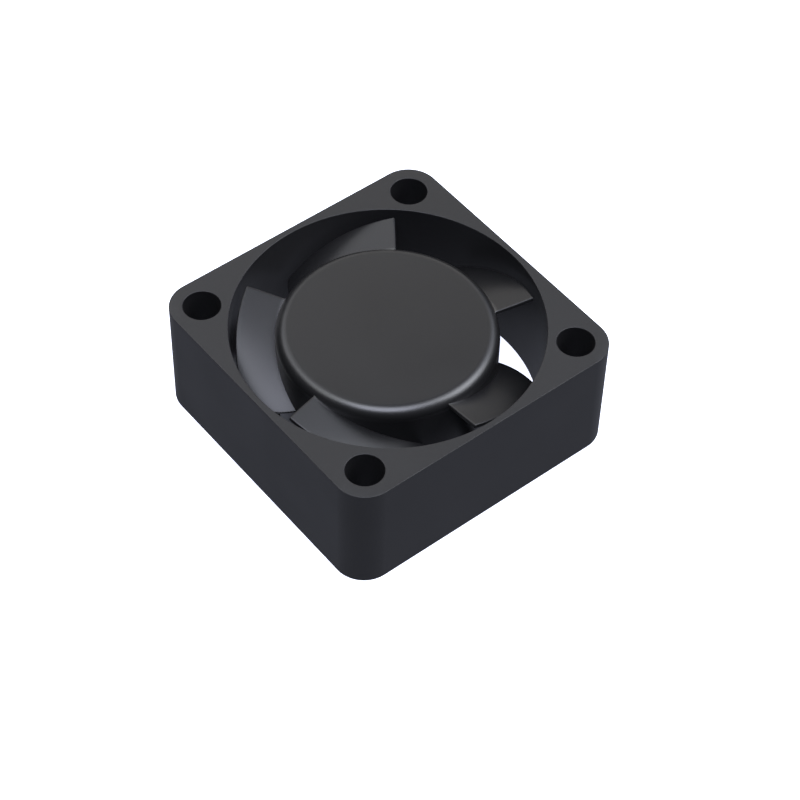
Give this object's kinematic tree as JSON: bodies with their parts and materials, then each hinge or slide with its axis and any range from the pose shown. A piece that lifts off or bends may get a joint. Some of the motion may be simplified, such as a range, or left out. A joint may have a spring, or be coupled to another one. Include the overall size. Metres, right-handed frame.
{
  "type": "axial cooling fan",
  "caption": "Square axial cooling fan with a straight duct, corner mounting holes and a hub-driven impeller of cambered blades on a ball-bearing brushless motor.",
  "frame": {"origin": "centre of the outlet face, on the rotor axis", "axes": "+Z along the rotor axis from the outlet face to the inlet face, +X and +Y along the sides of the housing"},
  "size_m": [0.025, 0.025, 0.01],
  "materials": {
    "housing_plastic": "matte moulded, fine grain",
    "impeller_plastic": "satin moulded",
    "yoke_steel": "drawn and zinc plated",
    "magnet": "matt bonded ferrite",
    "brass": "turned",
    "shaft_steel": "ground",
    "spring_steel": "bright",
    "bearing_steel": "ground and polished",
    "cage_steel": "pressed",
    "core_steel": "stamped silicon steel",
    "bobbin_plastic": "natural moulded",
    "enamelled_copper": "glossy enamel",
    "board_laminate": "satin solder resist",
    "chip_resin": "matte moulded",
    "chip_ceramic": "satin fired",
    "tinned_metal": "satin tinned"
  },
  "bodies": {
    "housing": {"bearing_tube": "brass", "chip_capacitor": "chip_ceramic", "chip_resistor": "chip_resin", "chip_terminations": "tinned_metal", "circuit_board": "board_laminate", "coil_1": "enamelled_copper", "coil_2": "enamelled_copper", "coil_3": "enamelled_copper", "coil_4": "enamelled_copper", "driver_ic": "chip_resin", "driver_ic_leads": "tinned_metal", "frame": "housing_plastic", "lead_pads": "tinned_metal", "lower_bearing_outer_ring": "bearing_steel", "lower_bearing_shields": "cage_steel", "lower_insulator": "bobbin_plastic", "pin_solder": "tinned_metal", "stator_laminations": "core_steel", "terminal_pins": "tinned_metal", "upper_bearing_outer_ring": "bearing_steel", "upper_bearing_shields": "cage_steel", "upper_insulator": "bobbin_plastic"},
    "rotor": {"impeller": "impeller_plastic", "rotor_yoke": "yoke_steel", "rotor_magnet": "magnet", "shaft_boss": "brass", "shaft": "shaft_steel", "retaining_ring": "spring_steel", "preload_spring": "spring_steel", "upper_bearing_inner_ring": "bearing_steel", "lower_bearing_inner_ring": "bearing_steel"},
    "upper_ball_set": {"upper_bearing_balls": "bearing_steel", "upper_bearing_cage": "cage_steel"},
    "lower_ball_set": {"lower_bearing_balls": "bearing_steel", "lower_bearing_cage": "cage_steel"}
  },
  "joints": [
    {"name": "impeller_spin", "type": "hinge", "parent": "housing", "child": "rotor", "pos_m": [0, 0, 0], "axis": [0, 0, 1], "continuous": true},
    {"name": "upper_cage_spin", "type": "hinge", "parent": "housing", "child": "upper_ball_set", "pos_m": [0, 0, 0], "axis": [0, 0, 1], "continuous": true},
    {"name": "lower_cage_spin", "type": "hinge", "parent": "housing", "child": "lower_ball_set", "pos_m": [0, 0, 0], "axis": [0, 0, 1], "continuous": true}
  ],
  "couplings": [
    {"joint": "upper_cage_spin", "follows": "impeller_spin", "ratio": 0.3545},
    {"joint": "lower_cage_spin", "follows": "impeller_spin", "ratio": 0.3545}
  ]
}
